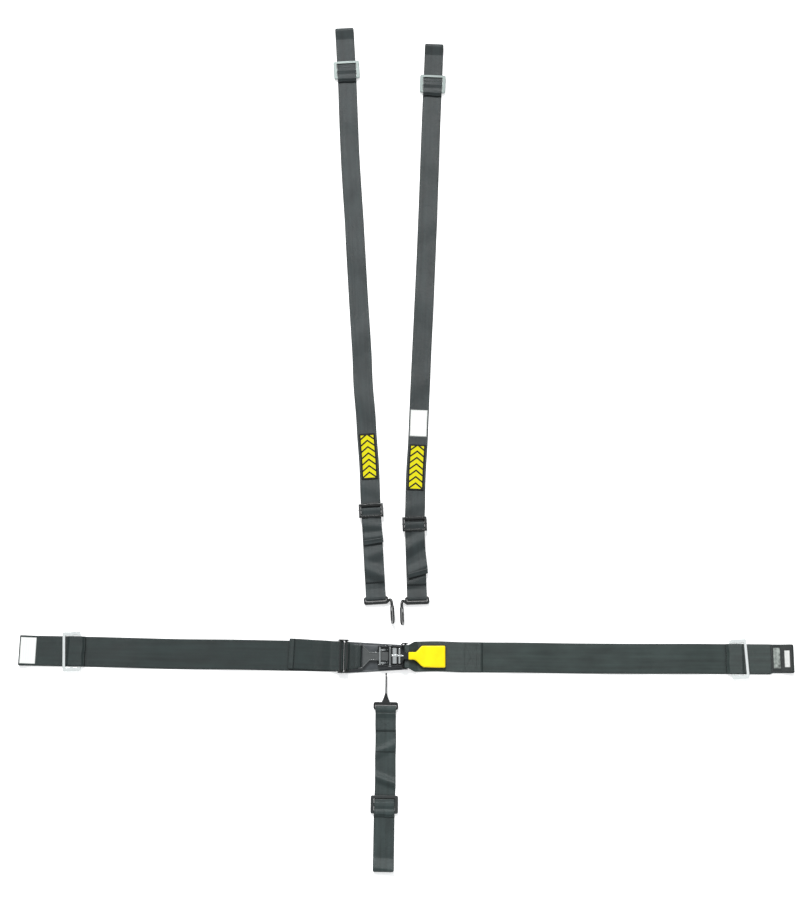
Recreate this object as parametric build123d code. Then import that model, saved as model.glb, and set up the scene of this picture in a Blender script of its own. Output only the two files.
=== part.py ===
from build123d import *
import math
import os

os.makedirs("parts", exist_ok=True)

# Webbing
WEB = 1.5  # webbing thickness
GAP = 0.3  # gap between layers
LAP_W = 76.2  # lap webbing, 3 inch
SHOULDER_W = 50.8  # shoulder and crotch webbing, 2 inch
LAYER_1 = WEB / 2
LAYER_2 = LAYER_1 + WEB + GAP
LAYER_3 = LAYER_2 + WEB + GAP
LOOP_HIGH = 8.25  # middle line of the top of an anchor loop

# Three-bar slides
SLIDE_Z = 2 * WEB + 2 * GAP
SLIDE_T = 3.0
SLIDE_BAR = 7.0

# Fittings (eyes that slip over the link)
FIT_BAR_R = 3.0
FIT_BAR_Z = WEB + GAP + FIT_BAR_R
FIT_W = 62.0
FIT_ARM = 4.5
FIT_REACH = 13.0  # near bar to far bar
EYE_T = 4.0
EYE_H = 24.0
EYE_SLOT_L = 28.0
EYE_SLOT_H = 11.0

# Latch
LATCH_Y = 1.0  # middle of the buckle
PAD_T = 4.0
BASE_Z = PAD_T + GAP
BASE_T = 2.0
WALL_T = 2.5
LATCH_W = 50.0
LINK_Z = BASE_Z + BASE_T + GAP
LINK_T = 4.0
LINK_MID = LINK_Z + LINK_T / 2
PIVOT_X = -5.0
PIVOT_Z = 16.0
PIN_R = 2.75
HOOK_X = 15.0
HOOK_T = 3.0
HOOK_DEPTH = 2.0
LEVER_W = 39.0
LEVER_T = 3.0

# Where each strap starts and which way it runs, degrees from +X
LAP_RIGHT = Location((0, 0.6, 0), (0, 0, -0.4))
LAP_LEFT = Location((0, -1.6, 0), (0, 0, 178.9))
SHOULDER_L = Location((-41.5, 150, 0), (0, 0, 93.4))
SHOULDER_R_LOW = Location((63.6, 150, 0), (0, 0, 91.86))
SHOULDER_R = Location((57.3, 343, 0), (0, 0, 87.6))
CROTCH = Location((-15.4, -130, 0), (0, 0, -90.75))

nodes = {}


def side_points(points, d):
    """Points moved to one side of a line of (x, z) points by d, mitred at the bends."""
    out = []
    last = len(points) - 1
    for i, (x, z) in enumerate(points):
        ahead = points[min(i + 1, last)]
        behind = points[max(i - 1, 0)]
        here = (x, z)
        first = behind if i > 0 else here
        a1 = math.atan2(ahead[1] - z, ahead[0] - x) if i < last else None
        a0 = math.atan2(z - first[1], x - first[0]) if i > 0 else a1
        a1 = a0 if a1 is None else a1
        turn = (a1 - a0 + math.pi) % (2 * math.pi) - math.pi
        mid = a0 + turn / 2
        reach = d / math.cos(turn / 2)
        out.append((x - reach * math.sin(mid), z + reach * math.cos(mid), turn))
    return out


def band(points, radius, width, thick=WEB):
    """A strip of even thickness whose middle line follows (x, z) points with rounded bends."""
    edges = []
    ends = []
    for side in (1, -1):
        moved = side_points(points, side * thick / 2)
        line = [(x, z) for x, z, turn in moved]
        radii = []
        for i in range(1, len(moved) - 1):
            inner = moved[i][2] * side > 0
            radii.append(radius[i - 1] + (-thick / 2 if inner else thick / 2))
        wire = FilletPolyline(*line, radius=radii) if radii else Polyline(*line)
        edges += list(wire.edges())
        ends.append((line[0], line[-1]))
    edges.append(Line(ends[0][0], ends[1][0]).edge())
    edges.append(Line(ends[0][1], ends[1][1]).edge())
    face = make_face(edges)
    return extrude(Plane.XZ * face, amount=width / 2, both=True)


def box_at(x0, x1, y0, y1, z0, z1):
    return Pos((x0 + x1) / 2, (y0 + y1) / 2, (z0 + z1) / 2) * Box(x1 - x0, y1 - y0, z1 - z0)


def rod(x, z, r, length, y=0.0):
    """A round bar along Y."""
    return Pos(x, y, z) * Rot(90, 0, 0) * Cylinder(r, length)


def prism(points, z0, z1):
    """A plan outline given height."""
    return Pos(0, 0, z0) * extrude(make_face(Polyline(*points, close=True).edges()), amount=z1 - z0)


def side_plate(points, y0, y1):
    """A side outline in (x, z) given width from y0 to y1."""
    face = make_face(Polyline(*points, close=True).edges())
    plate = extrude(Plane.XZ * face, amount=(y1 - y0) / 2, both=True)
    return Pos(0, (y0 + y1) / 2, 0) * plate


def soften(part, radius, axis):
    """Rounds the edges that run along one axis."""
    return fillet(part.edges().filter_by(axis), radius)


def loop_line(start, tip, end):
    """Webbing that runs out along the floor, folds round at the tip and comes back on top."""
    fold = tip - WEB / 2
    return [
        (start, LAYER_1),
        (fold, LAYER_1),
        (fold, LOOP_HIGH),
        (fold - 8, LOOP_HIGH),
        (fold - 32, LAYER_2),
        (end, LAYER_2),
    ]


LOOP_RADII = [3.7, 3.7, 8.0, 8.0]


def on_loop(tip, s0, s1, lift, thick, width):
    """A thin label that lies on the top of an anchor loop."""
    fold = tip - WEB / 2
    up = WEB / 2 + lift + thick / 2
    line = [(s0, LAYER_2 + up), (fold - 32, LAYER_2 + up), (fold - 8, LOOP_HIGH + up), (s1, LOOP_HIGH + up)]
    return band(line, [8.0, 8.0], width, thick)


def three_bar(length, width, web_width, flip, turn=0.0):
    """A three-bar slide centred on x = 0 and turned a little, and the webbing over two of its bars."""
    half = length / 2
    rail = (width - web_width) / 2 - 1.0 - abs(turn) / 2
    top = SLIDE_Z + SLIDE_T
    frame = Pos(0, 0, SLIDE_Z + SLIDE_T / 2) * Box(length, width, SLIDE_T)
    frame = soften(frame, 4.0, Axis.Z)
    slot_w = width - 2 * rail
    slot_l = (length - 3 * SLIDE_BAR) / 2
    for sign in (-1, 1):
        slot = Box(slot_l, slot_w, SLIDE_T * 3)
        slot = soften(slot, 1.5, Axis.Z)
        frame -= Pos(sign * (SLIDE_BAR / 2 + slot_l / 2), 0, SLIDE_Z) * slot
    frame = fillet(frame.edges().group_by(Axis.Z)[-1], 0.9)
    over = top + GAP + WEB / 2
    low = SLIDE_Z + GAP + WEB / 2
    slack = 0.7 * abs(turn)
    inside = half - SLIDE_BAR - 1.5 - slack
    line = [
        (inside, low),
        (SLIDE_BAR / 2 + 4.8 + slack, low),
        (SLIDE_BAR / 2 + 1.5 + slack, over),
        (-half - 1.5 - slack, over),
        (-half - 5.5 - slack, low),
        (-half - 9.0 - slack, low),
    ]
    over_web = band(line, [1.5, 1.5, 1.5, 1.5], web_width)
    frame = Rot(0, 0, turn) * frame
    if flip:
        frame = Rot(0, 0, 180) * frame
        over_web = Rot(0, 0, 180) * over_web
    return frame, over_web


def add_slide(name, place, s, length, width, web_width, flip=False, turn=0.0):
    frame, over_web = three_bar(length, width, web_width, flip, turn)
    nodes[name + "_slide_frame"] = place * Pos(s, 0, 0) * frame
    nodes[name + "_slide_webbing"] = place * Pos(s, 0, 0) * over_web


def fitting_base():
    """The webbing end of a fitting: round near bar at the origin, arms and far bar towards -Y."""
    half = FIT_W / 2
    far = Pos(0, -FIT_REACH, FIT_BAR_Z) * Box(FIT_W, 8.0, 2 * FIT_BAR_R)
    far = fillet(far.edges().filter_by(Axis.Z), 3.9)
    far = fillet(far.edges().group_by(Axis.Z)[-1], 1.8)
    part = far + Pos(0, 0, FIT_BAR_Z) * Rot(0, 90, 0) * Cylinder(FIT_BAR_R, FIT_W - FIT_ARM)
    for sign in (-1, 1):
        arm_x = sign * (half - FIT_ARM / 2)
        arm = Pos(arm_x, -FIT_REACH / 2, FIT_BAR_Z) * Box(FIT_ARM, FIT_REACH, 2 * FIT_BAR_R)
        part += arm
        part += Pos(arm_x, 0, FIT_BAR_Z) * Rot(0, 90, 0) * Cylinder(FIT_BAR_R, FIT_ARM)
    reach = FIT_REACH + 4.0 + FIT_BAR_R
    keep = soften(Box(FIT_W, reach, 30), 6.0, Axis.Z)
    return part & (Pos(0, FIT_BAR_R - reach / 2, 0) * keep)


def eye_plate(y0, y1, thick):
    """An upright plate with a long slot and a rounded tip at y1, middle at z = 0."""
    length = y0 - y1
    plate = Pos(0, (y0 + y1) / 2, 0) * Box(thick, length, EYE_H)
    tip_edges = plate.edges().filter_by(Axis.X).group_by(Axis.Y)[0]
    plate = fillet(tip_edges, EYE_H / 2 - 0.5)
    back_edges = plate.edges().filter_by(Axis.X).group_by(Axis.Y)[-1]
    plate = fillet(back_edges, 6.0)
    slot_y = y1 + 6.5 + EYE_SLOT_L / 2
    slot = Rot(0, 90, 0) * extrude(SlotOverall(EYE_SLOT_L, EYE_SLOT_H, rotation=90), amount=20, both=True)
    return plate - Pos(0, slot_y, 0) * slot


def shoulder_fitting(side):
    """A bar with a finger that bends down beside it and ends in an upright slotted eye."""
    part = fitting_base()
    across = 39.5
    line = [
        (24, -FIT_REACH, FIT_BAR_Z),
        (32, -9, 7.0),
        (36.5, -7.5, 9.0),
        (across, -14, 11.5),
        (across, -28, 13.5),
    ]
    path = Spline(*line)
    section = Plane(origin=path @ 0, z_dir=path % 0) * Circle(3.6)
    part += sweep(section, path=path)
    eye = eye_plate(-24, -70, EYE_T)
    part += Pos(across, 0, 13.2) * Rot(0, 17, 0) * eye
    if side < 0:
        part = mirror(part, about=Plane.YZ)
    return part


def crotch_fitting():
    """A bar with a neck that turns a quarter and ends in an upright slotted eye."""
    part = fitting_base()
    low = Plane(origin=(0, -FIT_REACH, FIT_BAR_Z), x_dir=(1, 0, 0), z_dir=(0, -1, 0)) * Rectangle(24, 5)
    mid = Plane(origin=(0, -27, 8.5), x_dir=(1, 0, 0), z_dir=(0, -1, 0)) * Rectangle(11, 7)
    high = Plane(origin=(0, -39, 12.5), x_dir=(1, 0, 0), z_dir=(0, -1, 0)) * Rectangle(3.5, 12)
    part += loft([low, mid, high], ruled=True)
    part += Pos(0, 0, 12.5) * eye_plate(-37, -89.0, 3.5)
    return part


def adjuster(web_width, width, rod_s, lock_s, s0, s1):
    """A lift adjuster: side plates, grip lip, strap guide, lock bar; the loop's bar is at rod_s."""
    half = width / 2
    plate_t = (width - web_width) / 2 - 1.0
    outline = [(s0, 9.2), (s0, 13.3), (s0 + 6, 13.3), (s1, 8.0), (s1, 3.6), (s1 - 8, 2.0), (s0 + 8, 2.0)]
    frame = side_plate(outline, -half, -half + plate_t)
    frame += side_plate(outline, half - plate_t, half)
    lip = box_at(s0, s0 + 5, -half, half, 10.8, 13.3)
    guide = box_at(s1 - 7, s1, -half, half, 3.6, 8.0)
    notch = box_at(s0 - 1, s0 + 2.0, -9, 9, 5, 20)
    frame += soften(lip, 1.0, Axis.Y) - notch
    frame += soften(guide, 1.5, Axis.Y)
    frame += rod(rod_s, WEB + GAP + 2.25, 2.25, width - plate_t)
    bar = rod(lock_s, 6.5, 3.0, web_width + 1.4)
    bar += rod(lock_s, 6.5, 1.5, width + 1.6)
    frame -= rod(lock_s, 6.5, 1.7, width + 10)
    return frame, bar


def add_adjuster(name, place, rod_s, s0, s1, tail_end, step):
    """A shoulder adjuster with its connector loop, and the webbing over the lock bar with the tail."""
    lock_s = rod_s + 10.5
    frame, bar = adjuster(SHOULDER_W, 63.0, rod_s, lock_s, s0, s1)
    wrap = 2.25 + GAP + WEB / 2
    rod_z = WEB + GAP + 2.25
    roll = FIT_BAR_R + GAP + WEB / 2
    line = [
        (step, LAYER_3),
        (rod_s - 14, LAYER_3),
        (rod_s - 4, rod_z + wrap),
        (rod_s + wrap, rod_z + wrap),
        (rod_s + wrap, LAYER_1),
        (-roll, LAYER_1),
        (-roll, FIT_BAR_Z + roll),
        (2, FIT_BAR_Z + roll),
        (22, LAYER_2),
        (step + 20, LAYER_2),
    ]
    radii = [8, 8, 3.2, 3.2, 4.0, 4.0, 8, 8]
    nodes[name + "_connector"] = place * band(line, radii, SHOULDER_W)
    over = [
        (s1 - 2, LAYER_2),
        (lock_s + 5.6, LAYER_2),
        (lock_s + 3.2, 10.55),
        (lock_s - 3.5, 10.55),
        (rod_s - 1, 9.3),
        (s0 - 1, 9.3),
        (s0 - 18, LAYER_3 + WEB + GAP),
        (tail_end, LAYER_3 + WEB + GAP),
    ]
    nodes[name + "_tail"] = place * band(over, [1.5, 2.5, 5, 5, 8, 8], SHOULDER_W)
    nodes[name + "_adjuster_frame"] = place * frame
    nodes[name + "_adjuster_bar"] = place * bar


def label(place, s0, s1, width, z, thick=0.6):
    plate = box_at(s0, s1, -width / 2, width / 2, z, z + thick)
    return place * soften(plate, 2.0, Axis.Z)


# Lap belt, right half: webbing from the latch to the anchor loop
RIGHT_TIP = 1017.0
WEB_BAR_X = 34.0
WEB_BAR_Z = 9.3
bar_roll = 3.0 + GAP + WEB / 2
right_line = [
    (230, LAYER_2),
    (66, LAYER_2),
    (WEB_BAR_X + 8, WEB_BAR_Z + bar_roll),
    (WEB_BAR_X - bar_roll, WEB_BAR_Z + bar_roll),
    (WEB_BAR_X - bar_roll, WEB_BAR_Z - bar_roll),
    (WEB_BAR_X + 8, WEB_BAR_Z - bar_roll),
    (62, LAYER_1),
]
right_line += loop_line(62, RIGHT_TIP, 860)[1:]
right_web = band(right_line, [20, 8, 4.0, 4.0, 8, 20] + LOOP_RADII, LAP_W)
web_plan = [(20, -29), (42, -29.3), (57, -38.1), (956, -38.1), (960, -34.6), (1013, -34.6), (1017, -31), (1030, -31)]
web_plan += [(1030, 34.5), (1017, 34.5), (1013, 38.1), (57, 38.1), (42, 29.3), (20, 29)]
nodes["lap_webbing_right"] = LAP_RIGHT * (right_web & prism(web_plan, -5, 40))
add_slide("lap_right", LAP_RIGHT, 878.5, 44.0, 100.0, LAP_W, turn=3.0)
nodes["lap_end_patch"] = LAP_RIGHT * Pos(0, 1.75, 0) * on_loop(RIGHT_TIP, 959, 1014, 0.05, 0.6, 71)
nodes["lap_end_tag_wide"] = LAP_RIGHT * Pos(0, 3, 0) * band([(965.0, 4.85), (982.5, 4.85)], [], 52, 0.4)
tag_line = [(992.6, 6.72), (1005.6, 9.8)]
nodes["lap_end_tag_narrow"] = LAP_RIGHT * Pos(0, 1, 0) * band(tag_line, [], 42, 0.4)

# Lap belt, left half: webbing from the adjuster to the anchor loop
LEFT_TIP = 945.0
left_line = loop_line(140, LEFT_TIP, 800)
nodes["lap_webbing_left"] = LAP_LEFT * band(left_line, LOOP_RADII, LAP_W)
add_slide("lap_left", LAP_LEFT, 811.5, 46.0, 100.0, LAP_W, turn=3.5)
nodes["lap_label_left"] = LAP_LEFT * on_loop(LEFT_TIP, 902.5, 941, 0.05, 0.5, 66)

# Lap adjuster, its loop of webbing to the link, and the doubled-back tail
LOOP_ROD_S = 115.4
LOCK_S = 127.0
outer = box_at(77.5, 120.2, -40, 40, 4.5, 12.9)
outer = soften(outer, 3.2, Axis.Y)
inner = box_at(79.0, 118.7, -45, 45, 6.0, 11.4)
inner = soften(inner, 1.6, Axis.Y)
taper = prism([(77, -25.5), (82, -26.5), (87, -30), (125, -35.5), (125, 35.5), (87, 30), (82, 26.5), (77, 25.5)], 0, 30)
nodes["link_webbing_loop"] = LAP_LEFT * ((outer - inner) & taper)
wrap_r = 3.0 + GAP + WEB / 2
tail_line = [
    (137, LINK_MID - wrap_r),
    (LOCK_S - wrap_r, LINK_MID - wrap_r),
    (LOCK_S - wrap_r, LINK_MID + wrap_r),
    (LOCK_S + 4, LINK_MID + wrap_r),
    (154, LAYER_2),
    (262, LAYER_2),
]
nodes["lap_tail"] = LAP_LEFT * band(tail_line, [4.0, 4.0, 8, 12], LAP_W)
plate_line = [(110.5, 4.6), (110.5, 15.6), (128, 17.0), (136.5, 13.5), (136.5, 4.6)]
lap_frame = side_plate(plate_line, -42, -39.2) + side_plate(plate_line, 39.2, 42)
grip_bow = [(118, -42), (113.6, -30), (111.5, -12), (111.5, 12), (113.6, 30), (118, 42)]
grip_bow += [(121.5, 42), (117.2, 30), (115.2, 12), (115.2, -12), (117.2, -30), (121.5, -42)]
lap_frame += prism(grip_bow, 13.6, 16.0)
lap_frame += soften(box_at(129.0, 132.6, -42, 42, 14.0, 16.6), 1.2, Axis.Y)
lap_frame += rod(LOOP_ROD_S, LINK_MID, 2.5, 81)
lap_frame -= rod(LOCK_S, LINK_MID, 1.7, 100)
nodes["lap_adjuster_frame"] = LAP_LEFT * lap_frame
lap_bar = rod(LOCK_S, LINK_MID, 3.0, 77.4) + rod(LOCK_S, LINK_MID, 1.5, 85.6)
nodes["lap_adjuster_bar"] = LAP_LEFT * lap_bar

# Link: wide end in its webbing loop, narrow tongue that goes into the latch
link_outline = [
    (-86, -31.0),
    (-76, -31.5),
    (-57, -11),
    (28, -11),
    (28, 11),
    (-57, 11),
    (-76, 31.5),
    (-86, 31.0),
]
link = prism(link_outline, LINK_Z, LINK_Z + LINK_T)
link = soften(link, 2.0, Axis.Z)
slot_plan = [(-80.0, -27.0), (-74.8, -27.0), (-73.6, -20.0), (-73.6, 20.0), (-74.8, 27.0), (-80.0, 27.0)]
link -= prism(slot_plan, 0, 30)
link -= box_at(HOOK_X - 3, HOOK_X + 7, -6, 6, 0, 30)
rim_plan = [(-73.0, -27.4), (-56.6, -10.2), (-39, -10.2), (-39, 10.2), (-56.6, 10.2), (-73.0, 27.4)]
rim_hole = [(-74, -24), (-72.6, -23.6), (-57.8, -7.6), (-38, -7.6), (-38, 7.6), (-57.8, 7.6), (-72.6, 23.6), (-74, 24)]
link += prism(rim_plan, LINK_Z, LINK_Z + LINK_T + 1.2) - prism(rim_hole, 0, 30)
nodes["link_plate"] = Pos(0, LATCH_Y, 0) * link

# Latch: channel, front bar, webbing bar, pin, spring, rivets
base_outline = [(-38, -17), (-33, -24), (26, -24), (26, 24), (-33, 24), (-38, 17)]
frame = prism(base_outline, BASE_Z, BASE_Z + BASE_T)
half_w = LATCH_W / 2
wall_side = [
    (-36, BASE_Z),
    (-36, 17.5),
    (-33, 20),
    (24, 20),
    (24, BASE_Z),
]
frame += side_plate(wall_side, -half_w, -half_w + WALL_T)
frame += side_plate(wall_side, half_w - WALL_T, half_w)
for sign in (-1, 1):
    flare = prism([(22, 22.5), (28, 31.0), (40, 31.0), (40, 33.5), (26.6, 33.5), (19.6, 25)], BASE_Z, 20)
    keep = side_plate([(18, BASE_Z), (18, 20), (25, 18), (33, 15.5), (40, 12), (40, BASE_Z)], 0, 40)
    flare = flare & keep
    frame += flare if sign > 0 else mirror(flare, about=Plane.XZ)
frame -= rod(PIVOT_X, PIVOT_Z, PIN_R + 0.15, 80)
nodes["latch_frame"] = Pos(0, LATCH_Y, 0) * frame
nodes["latch_front_bar"] = rod(-30.5, 14.5, 2.5, 2 * half_w - 2 * WALL_T, LATCH_Y)
web_bar = rod(WEB_BAR_X, WEB_BAR_Z, 3.0, 61.8, LATCH_Y)
nodes["latch_webbing_bar"] = web_bar
pin = rod(PIVOT_X, PIVOT_Z, PIN_R, LATCH_W + 0.6, LATCH_Y)
for sign in (-1, 1):
    pin += rod(PIVOT_X, PIVOT_Z, 4.2, 1.4, LATCH_Y + sign * (half_w + 1.0))
nodes["lever_pivot_pin"] = pin
spring_line = [(-29, 6.7), (-20, 6.7), (-14, 12.2), (-11, 15.5)]
leaf_left = band(spring_line, [3, 4], 5.0, 0.6)
nodes["lever_detent_spring"] = Pos(0, LATCH_Y - 16.5, 0) * leaf_left + Pos(0, LATCH_Y + 16.5, 0) * leaf_left
rivets = Part()
for y in (-16.5, 16.5):
    head = Pos(-25, LATCH_Y + y, 7.0) * Cylinder(3.0, 1.4, align=(Align.CENTER, Align.CENTER, Align.MIN))
    rivets += fillet(head.edges().group_by(Axis.Z)[-1], 1.2)
nodes["latch_rivets"] = rivets

# Lever: barrel, ribbed plate, hook, narrow neck; and its grip
lever_bends = [(44, 18.5), (74, 9.6)]
lever_side = [(PIVOT_X, 18.5)] + lever_bends + [(128, 8.5)]
plate = band(lever_side, [30, 60], LEVER_W, LEVER_T)
lever_plan = [(-12, -19.5), (23, -19.5), (31, -8.5), (126, -8.5), (126, 8.5), (31, 8.5), (23, 19.5), (-12, 19.5)]
plate = plate & prism(lever_plan, 0, 60)
plate += rod(PIVOT_X, PIVOT_Z, 4.5, LEVER_W)
plate -= rod(PIVOT_X, PIVOT_Z, PIN_R + 0.2, 80)
plate += soften(box_at(1.5, 11.9, -19.5, 19.5, 18.5, 21.5), 1.3, Axis.Y)
plate += soften(box_at(16.4, 21.2, -19.5, 19.5, 18.5, 21.5), 1.3, Axis.Y)
plate += soften(box_at(-1, 29, -2.0, 2.0, 18.5, 22.3), 0.8, Axis.X)
nodes["lever_plate"] = Pos(0, LATCH_Y, 0) * plate
hook_top = 17.0
hook = box_at(HOOK_X - 4.5, HOOK_X + HOOK_T / 2, -5, 5, 14.5, hook_top)
hook += box_at(HOOK_X - HOOK_T / 2, HOOK_X + HOOK_T / 2, -5, 5, LINK_Z + LINK_T - HOOK_DEPTH, hook_top)
nodes["lever_hook"] = Pos(0, LATCH_Y, 0) * hook
grip_end = 8.5 - (134.9 - 128) * 1.1 / 54
grip_side = [(31, 18.5)] + lever_bends + [(134.9, grip_end)]
grip = band(grip_side, [30, 60], 60, 7.0)
grip_plan = [
    (41.5, -9.8),
    (55, -9.8),
    (59, -11),
    (63, -15.5),
    (68, -21.5),
    (75, -26),
    (85, -28.2),
    (133, -28.7),
    (134.9, -27),
    (134.9, 24.5),
    (133, 26.2),
    (78, 26.2),
    (73, 25),
    (69.5, 22),
    (65.5, 13.5),
    (62, 10.5),
    (58, 9.8),
    (41.5, 9.8),
]
grip = grip & prism(grip_plan, 0, 60)
pocket = band([(31, 18.5)] + lever_bends + [(128.05, 8.5)], [30, 60], 17.2, LEVER_T + 0.1)
grip -= pocket
nodes["lever_grip"] = Pos(0, LATCH_Y, 0) * grip

# Pad under the buckle
pad_plan = [(-116.5, -40), (28, -31.5), (38, -31.5), (38, 31.5), (28, 31.5), (-116.5, 40)]
pad = prism(pad_plan, 0, PAD_T)
pad = soften(pad, 5.0, Axis.Z)
pad = fillet(pad.edges().group_by(Axis.Z)[-1], 1.4)
nodes["buckle_pad"] = Pos(0, -1.0, 0) * pad

# Shoulder strap, left
nodes["shoulder_left_webbing"] = SHOULDER_L * band(loop_line(231, 1591, 1446), LOOP_RADII, SHOULDER_W)
add_slide("shoulder_left", SHOULDER_L, 1464.7, 52.0, 70.5, SHOULDER_W)
nodes["shoulder_left_patch"] = label(SHOULDER_L, 309.5, 432.8, 42, WEB + 0.05)
add_adjuster("shoulder_left", SHOULDER_L, 218.4, 207.9, 244.7, 142.2, 38.6)
TURN_L = Location((-41.5, 150, 0), (0, 0, 3.4))
nodes["shoulder_left_fitting"] = TURN_L * shoulder_fitting(1)

# Shoulder strap, right
nodes["shoulder_right_webbing"] = SHOULDER_R * band(loop_line(3, 1348.5, 1213), LOOP_RADII, SHOULDER_W)
add_slide("shoulder_right", SHOULDER_R, 1228.4, 52.0, 70.5, SHOULDER_W)
nodes["shoulder_right_patch"] = label(SHOULDER_R, 87.0, 209.5, 42, WEB + 0.05)
nodes["shoulder_right_label"] = label(SHOULDER_R, 231.0, 302.5, 44, WEB + 0.05, 0.4)
add_adjuster("shoulder_right", SHOULDER_R_LOW, 181.0, 171.6, 209.8, 58.0, 33.0)
TURN_R = Location((63.6, 150, 0), (0, 0, 1.86))
nodes["shoulder_right_fitting"] = TURN_R * shoulder_fitting(-1)

# Crotch strap
crotch_roll = FIT_BAR_R + GAP + WEB / 2
crotch_line = [
    (55, LAYER_3),
    (97, LAYER_3),
    (97, LAYER_2),
    (24, LAYER_2),
    (3, FIT_BAR_Z + crotch_roll),
    (-crotch_roll, FIT_BAR_Z + crotch_roll),
    (-crotch_roll, LAYER_1),
]
crotch_line += loop_line(0, 396.4, 252)[1:]
crotch_radii = [0.85, 0.85, 8, 6, 4.0, 4.0] + LOOP_RADII
nodes["crotch_webbing"] = CROTCH * band(crotch_line, crotch_radii, SHOULDER_W)
add_slide("crotch", CROTCH, 235.0, 44.0, 68.0, SHOULDER_W, flip=True)
TURN_C = Location((-15.4, -130, 0), (0, 0, 179.25))
nodes["crotch_fitting"] = TURN_C * crotch_fitting()

for name, shape in nodes.items():
    solids = list(shape.solids())
    whole = solids[0] if len(solids) == 1 else Compound(label=name, children=solids)
    export_step(whole, f"parts/{name}.step")
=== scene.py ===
import math

import bpy
from mathutils import Matrix, Vector


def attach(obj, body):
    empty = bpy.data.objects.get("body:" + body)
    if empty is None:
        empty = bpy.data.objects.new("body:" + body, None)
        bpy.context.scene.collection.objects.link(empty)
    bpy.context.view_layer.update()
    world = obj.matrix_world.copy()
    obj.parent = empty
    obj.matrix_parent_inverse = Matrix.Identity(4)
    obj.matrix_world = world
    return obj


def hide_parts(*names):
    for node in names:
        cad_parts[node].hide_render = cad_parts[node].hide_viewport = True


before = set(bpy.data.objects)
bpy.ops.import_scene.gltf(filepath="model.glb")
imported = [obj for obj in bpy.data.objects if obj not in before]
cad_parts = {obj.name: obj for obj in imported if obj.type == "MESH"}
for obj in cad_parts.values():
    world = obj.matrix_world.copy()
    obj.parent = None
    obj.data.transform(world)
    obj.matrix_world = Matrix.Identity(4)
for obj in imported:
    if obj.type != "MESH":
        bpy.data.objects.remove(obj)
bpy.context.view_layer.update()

# Lengths below are in millimetres unless they end in _M, and are scaled by MM when meshes are made.
MM = 0.001
PER_M = 1000.0
LAP_W = 76.2
SHOULDER_W = 50.8
WEB_THICK = 1.5

# Woven patterns: the spacing of lengthwise ribs and crosswise picks, and the picks' slant.
RIB_PITCH = 1.5
PICK_PITCH = 1.1
PICK_SLANT = 3.0
EDGE_BAND_WIDTH = 2.2
LABEL_HEM = 1.4

# ---------------------------------------------------------------- camera, sky and suns
LENS_MM = 64
SENSOR_MM = 36
CAMERA_AT_M = (0.0354, -0.4008, 4.0673)
CAMERA_TILT = 13
SKY_COLOUR = (0.96, 0.985, 1.0, 1)
SKY_STRENGTH = 0.52

scene = bpy.context.scene
cam_data = bpy.data.cameras.new("camera")
cam_data.lens = LENS_MM
cam_data.sensor_width = SENSOR_MM
cam = bpy.data.objects.new("camera", cam_data)
scene.collection.objects.link(cam)
cam.location = CAMERA_AT_M
cam.rotation_euler = (math.radians(CAMERA_TILT), 0, 0)
scene.camera = cam
scene.view_settings.view_transform = "Standard"

world = bpy.data.worlds.new("studio")
scene.world = world
world.use_nodes = True
sky = world.node_tree.nodes["Background"]
sky.inputs["Color"].default_value = SKY_COLOUR
sky.inputs["Strength"].default_value = SKY_STRENGTH


def sun_light(name, towards, strength, spread):
    """A sun shining towards a direction, its disc spread degrees wide."""
    data = bpy.data.lights.new(name, "SUN")
    data.energy = strength
    data.angle = math.radians(spread)
    light = bpy.data.objects.new(name, data)
    scene.collection.objects.link(light)
    light.rotation_euler = Vector(towards).to_track_quat("-Z", "Y").to_euler()


sun_light("key", (0.25, -1.0, -0.98), 3.15, 20)
sun_light("fill", (-0.5, 0.6, -1.6), 0.3, 50)


# ---------------------------------------------------------------- node helpers
def material(name):
    """A new node material, with its tree and its main shader."""
    mat = bpy.data.materials.new(name)
    mat.use_nodes = True
    tree = mat.node_tree
    return mat, tree, tree.nodes["Principled BSDF"]


def node(tree, kind, inputs=None, **settings):
    """A node whose inputs are sockets to link or plain values to set."""
    made = tree.nodes.new(kind)
    for key, value in settings.items():
        setattr(made, key, value)
    for key, value in (inputs or {}).items():
        if isinstance(value, bpy.types.NodeSocket):
            tree.links.new(value, made.inputs[key])
        else:
            made.inputs[key].default_value = value
    return made


def maths(tree, operation, a, b=0.0, c=0.0):
    return node(tree, "ShaderNodeMath", {0: a, 1: b, 2: c}, operation=operation).outputs[0]


def plus(tree, a, b):
    return maths(tree, "ADD", a, b)


def minus(tree, a, b):
    return maths(tree, "SUBTRACT", a, b)


def times(tree, a, b):
    return maths(tree, "MULTIPLY", a, b)


def wave(tree, distance, pitch):
    """A sine that repeats every pitch millimetres."""
    return maths(tree, "SINE", times(tree, distance, math.tau / pitch))


def ramp_value(tree, value, low, high):
    """0 at low, 1 at high."""
    limits = {"Value": value, "From Min": low, "From Max": high}
    return node(tree, "ShaderNodeMapRange", limits).outputs[0]


def ramp(tree, fac, stops):
    made = node(tree, "ShaderNodeValToRGB", {"Fac": fac})
    band = made.color_ramp
    while len(band.elements) < len(stops):
        band.elements.new(0.5)
    for element, (at, colour) in zip(band.elements, stops):
        element.position = at
        element.color = (*colour, 1)
    return made.outputs["Color"]


def mix(tree, fac, a, b, blend="MIX"):
    made = tree.nodes.new("ShaderNodeMix")
    made.data_type = "RGBA"
    made.blend_type = blend
    for key, value in ((0, fac), (6, a), (7, b)):
        if isinstance(value, bpy.types.NodeSocket):
            tree.links.new(value, made.inputs[key])
        else:
            made.inputs[key].default_value = (*value, 1) if isinstance(value, tuple) else value
    return made.outputs[2]


def wire(tree, shader, socket, value):
    tree.links.new(value, shader.inputs[socket])


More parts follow.
